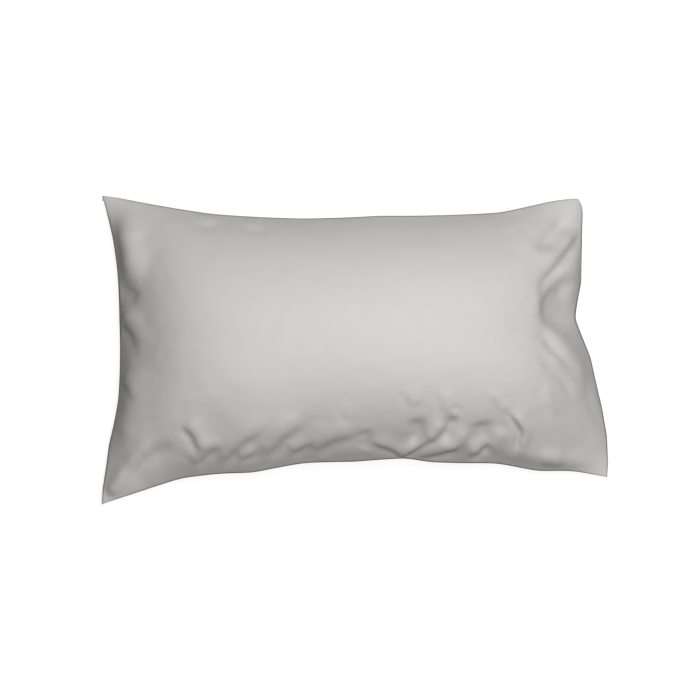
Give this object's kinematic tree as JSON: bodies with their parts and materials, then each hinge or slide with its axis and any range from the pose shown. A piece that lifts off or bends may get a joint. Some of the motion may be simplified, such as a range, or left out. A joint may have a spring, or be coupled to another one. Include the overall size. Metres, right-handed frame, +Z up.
{
  "type": "bed pillow",
  "caption": "Plump rectangular bed pillow in a plain cotton case with a tuck-in flap, lying flat; the filled ticking insert slides out of the case.",
  "frame": {"origin": "under the middle of the pillow's bounding box, on the surface it lies on", "axes": "+X along the length to the case's open end, +Y across to its far long side, +Z up, out of the front panel"},
  "size_m": [0.76, 0.464, 0.1974],
  "materials": {
    "case_cotton": "plain pale warm grey cotton with a faint sheen",
    "sewing_thread": "matt thread, toned to the cloth",
    "ticking_cotton": "dense plain white cotton, matt",
    "fibre_wadding": "soft white polyester fibre",
    "label_satin": "smooth woven ribbon, blank"
  },
  "bodies": {
    "case": {"case_front_panel": "case_cotton", "case_back_panel": "case_cotton", "case_far_seam": "case_cotton", "case_near_seam": "case_cotton", "case_end_seam": "case_cotton", "case_tuck_flap": "case_cotton", "case_flap_hem": "case_cotton", "case_back_hem": "case_cotton", "case_hem_stitching": "sewing_thread", "case_mouth_tacks": "sewing_thread", "case_care_label": "label_satin"},
    "insert": {"ticking_top_panel": "ticking_cotton", "ticking_bottom_panel": "ticking_cotton", "fibre_fill": "fibre_wadding", "ticking_piping": "ticking_cotton", "ticking_closing_stitch": "sewing_thread", "ticking_care_label": "label_satin"}
  },
  "joints": [
    {"name": "insert_slide", "type": "slide", "parent": "case", "child": "insert", "axis": [1, 0, 0], "range_m": [0, 0.86], "deforming": ["ticking_top_panel", "ticking_bottom_panel", "fibre_fill", "ticking_piping", "ticking_closing_stitch", "ticking_care_label"]}
  ]
}
